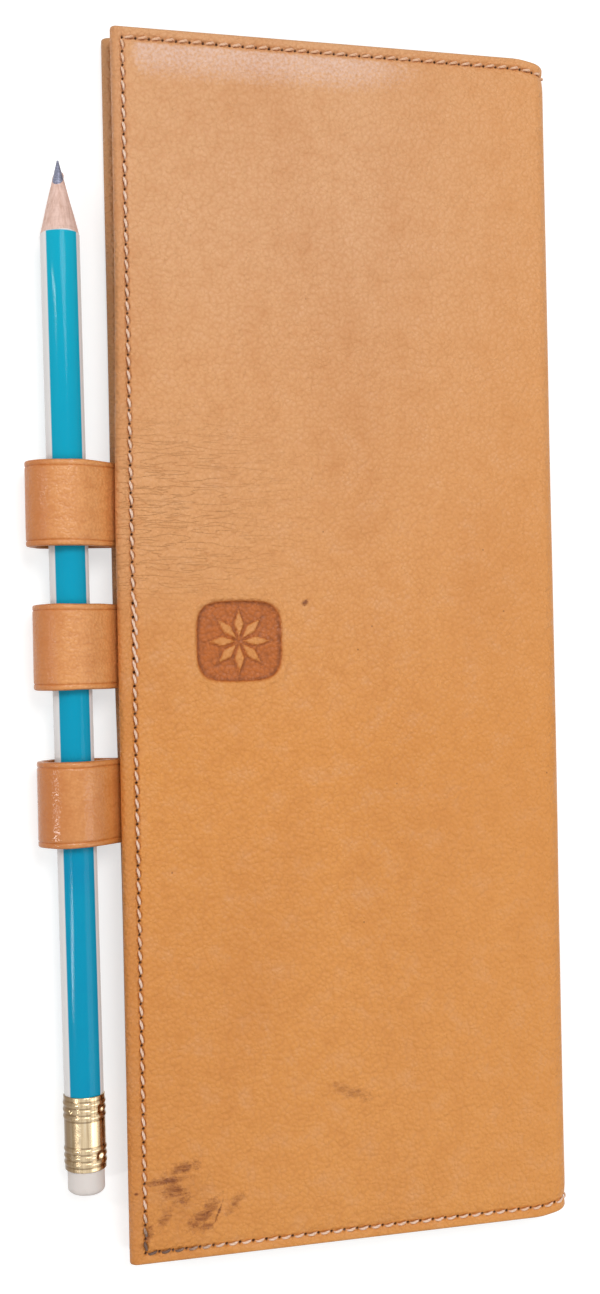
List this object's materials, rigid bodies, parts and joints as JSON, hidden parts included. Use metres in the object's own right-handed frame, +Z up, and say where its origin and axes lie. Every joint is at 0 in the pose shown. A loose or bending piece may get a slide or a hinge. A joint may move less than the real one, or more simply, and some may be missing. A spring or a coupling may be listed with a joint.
{
  "type": "fountain pen case",
  "caption": "Slim folding leather pen case, stitched round its edges, with flat pen sleeves and a slip pocket inside and strap loops that hold a pencil along the opening edge.",
  "frame": {"origin": "middle of the back cover's outer face, on the surface that the case rests on", "axes": "+X from the opening edge to the spine, +Y along the case towards the pencil's point, +Z up from the back cover to the front cover"},
  "size_m": [0.1021, 0.225, 0.0108],
  "materials": {
    "tan_leather": "vegetable-tanned, smooth, lightly waxed",
    "strap_leather": "vegetable-tanned strap with creased, burnished edges",
    "lining_leather": "thin undyed lining leather",
    "stiffener_board": "plain grey board",
    "seam_thread": "waxed cream thread",
    "lacquered_cedar": "glossy teal and white striped lacquer, bare cedar at the point",
    "graphite": "ground graphite",
    "gilt_ferrule": "rolled and crimped, gold-coloured",
    "eraser_rubber": "matt off-white"
  },
  "bodies": {
    "back": {"back_leather": "tan_leather", "back_board": "stiffener_board", "back_lining": "lining_leather", "back_seam_thread": "seam_thread", "pen_sleeve_panel": "tan_leather", "pen_sleeve_stitches": "seam_thread", "loop_upper": "strap_leather", "loop_middle": "strap_leather", "loop_lower": "strap_leather", "loop_stitches": "seam_thread"},
    "spine": {"spine_leather": "tan_leather", "spine_lining": "lining_leather", "spine_seam_thread": "seam_thread"},
    "front": {"front_leather": "tan_leather", "front_board": "stiffener_board", "front_lining": "lining_leather", "front_seam_thread": "seam_thread", "slip_pocket": "tan_leather", "slip_pocket_stitches": "seam_thread"},
    "pencil": {"pencil_barrel": "lacquered_cedar", "pencil_lead": "graphite", "pencil_ferrule": "gilt_ferrule", "pencil_eraser": "eraser_rubber"}
  },
  "joints": [
    {"name": "spine_fold", "type": "hinge", "parent": "back", "child": "spine", "pos_m": [0.04212, 0, 0.00088], "axis": [0, 1, 0], "range_deg": [0, 90]},
    {"name": "cover_fold", "type": "hinge", "parent": "spine", "child": "front", "pos_m": [0.04212, 0, 0.00792], "axis": [0, 1, 0], "range_deg": [0, 90]},
    {"name": "pencil_slide", "type": "slide", "parent": "back", "child": "pencil", "axis": [-0.0086, 1, 0], "range_m": [-0.127, 0.044]}
  ],
  "couplings": [
    {"joint": "cover_fold", "follows": "spine_fold", "ratio": 1}
  ]
}
